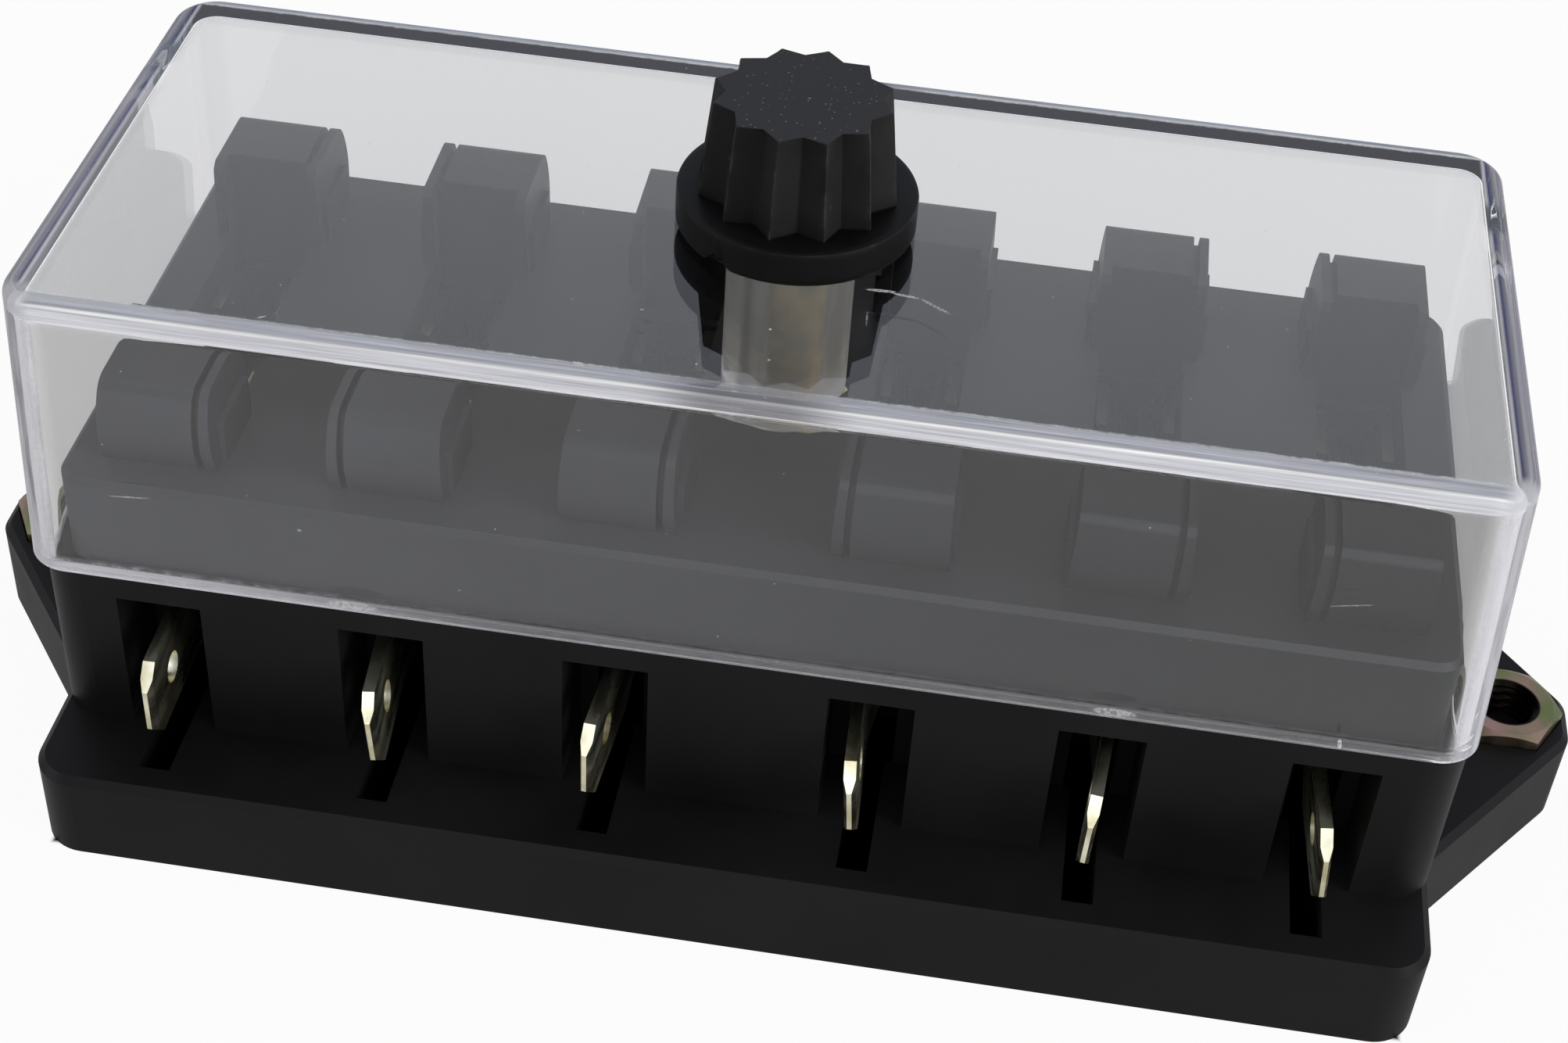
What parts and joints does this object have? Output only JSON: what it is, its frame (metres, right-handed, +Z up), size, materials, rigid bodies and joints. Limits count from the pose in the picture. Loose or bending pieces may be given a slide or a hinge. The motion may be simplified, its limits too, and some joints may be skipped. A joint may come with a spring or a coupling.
{
  "type": "fuse holder",
  "caption": "Blade fuse block: black moulded base with tab terminals along both long sides, a clear lift-off cover held by a fluted thumb knob, and nuts in two mounting ears.",
  "frame": {"origin": "middle of the flat underside", "axes": "+X along the length, +Z up along the knob's axis, -Y towards the front row of tabs"},
  "size_m": [0.1156, 0.0522, 0.0507],
  "materials": {
    "black_moulding": "black moulded plastic with a faint grey sheen",
    "knob_moulding": "black moulded plastic, speckled top",
    "clear_moulding": "clear moulded plastic, lightly scratched",
    "terminal_plating": "pale bright brass",
    "nut_plating": "yellowish zinc plating",
    "stud_brass": "turned brass",
    "insert_brass": "turned brass"
  },
  "bodies": {
    "base": {"base_housing": "black_moulding", "front_terminal_1": "terminal_plating", "front_terminal_2": "terminal_plating", "front_terminal_3": "terminal_plating", "front_terminal_4": "terminal_plating", "front_terminal_5": "terminal_plating", "front_terminal_6": "terminal_plating", "rear_terminal_1": "terminal_plating", "rear_terminal_2": "terminal_plating", "rear_terminal_3": "terminal_plating", "rear_terminal_4": "terminal_plating", "rear_terminal_5": "terminal_plating", "rear_terminal_6": "terminal_plating", "left_mounting_nut": "nut_plating", "right_mounting_nut": "nut_plating", "thread_insert": "insert_brass"},
    "cover": {"cover": "clear_moulding"},
    "knob": {"knob": "knob_moulding", "knob_stud": "stud_brass"}
  },
  "joints": [
    {"name": "cover_lift", "type": "slide", "parent": "base", "child": "cover", "axis": [0, 0, 1], "range_m": [0, 0.024]},
    {"name": "knob_turn", "type": "hinge", "parent": "cover", "child": "knob", "pos_m": [0, 0, 0.0413], "axis": [0, 0, 1], "continuous": true}
  ]
}
